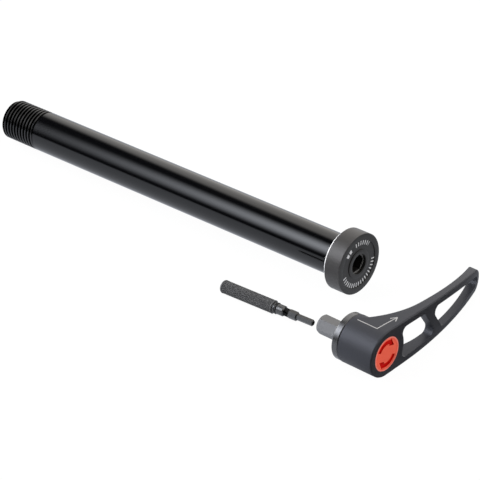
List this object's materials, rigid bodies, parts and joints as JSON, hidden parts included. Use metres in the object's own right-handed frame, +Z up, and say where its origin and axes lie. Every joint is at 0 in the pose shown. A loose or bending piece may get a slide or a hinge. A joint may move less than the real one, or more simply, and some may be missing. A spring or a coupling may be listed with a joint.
{
  "type": "bicycle thru axle",
  "caption": "Hollow bicycle thru axle with a threaded end and a round head with a hexagon socket, lying beside its plug-in ratchet lever and its small knurled tool.",
  "frame": {"origin": "on the axle's axis, at the seat face under its head", "axes": "+Z up from the floor that everything lies on, +X from the axle's thread to its head, tilted by the head's larger radius, +Y along the lever's arm"},
  "size_m": [0.2035, 0.0715, 0.0226],
  "materials": {
    "axle_aluminium": "black anodised, smooth on the shank and satin on the head",
    "lever_aluminium": "grey anodised, satin",
    "plug_steel": "turned, satin",
    "spring_steel": "bright spring wire",
    "cap_plastic": "red, smooth",
    "tool_steel": "blackened, knurled on the handle",
    "ring_rubber": "matt black"
  },
  "bodies": {
    "axle_and_lever": {"axle": "axle_aluminium", "lever": "lever_aluminium", "ratchet_ring": "plug_steel", "spring": "spring_steel", "end_cap": "cap_plastic", "tool_handle": "tool_steel", "tool_o_ring": "ring_rubber", "tool_bit": "tool_steel"},
    "seat": {"spring_seat": "plug_steel"},
    "plug": {"plug": "plug_steel", "retaining_screw": "plug_steel"}
  },
  "joints": [
    {"name": "plug_pull", "type": "slide", "parent": "axle_and_lever", "child": "seat", "axis": [-1, 0, 0], "range_m": [0, 0.003], "stiffness_N_per_m": 2500, "springref_m": -0.002, "deforming": ["spring"]},
    {"name": "plug_turn", "type": "hinge", "parent": "seat", "child": "plug", "pos_m": [0.04535, -0.0331, -0.00267], "axis": [1, 0, 0], "continuous": true}
  ]
}
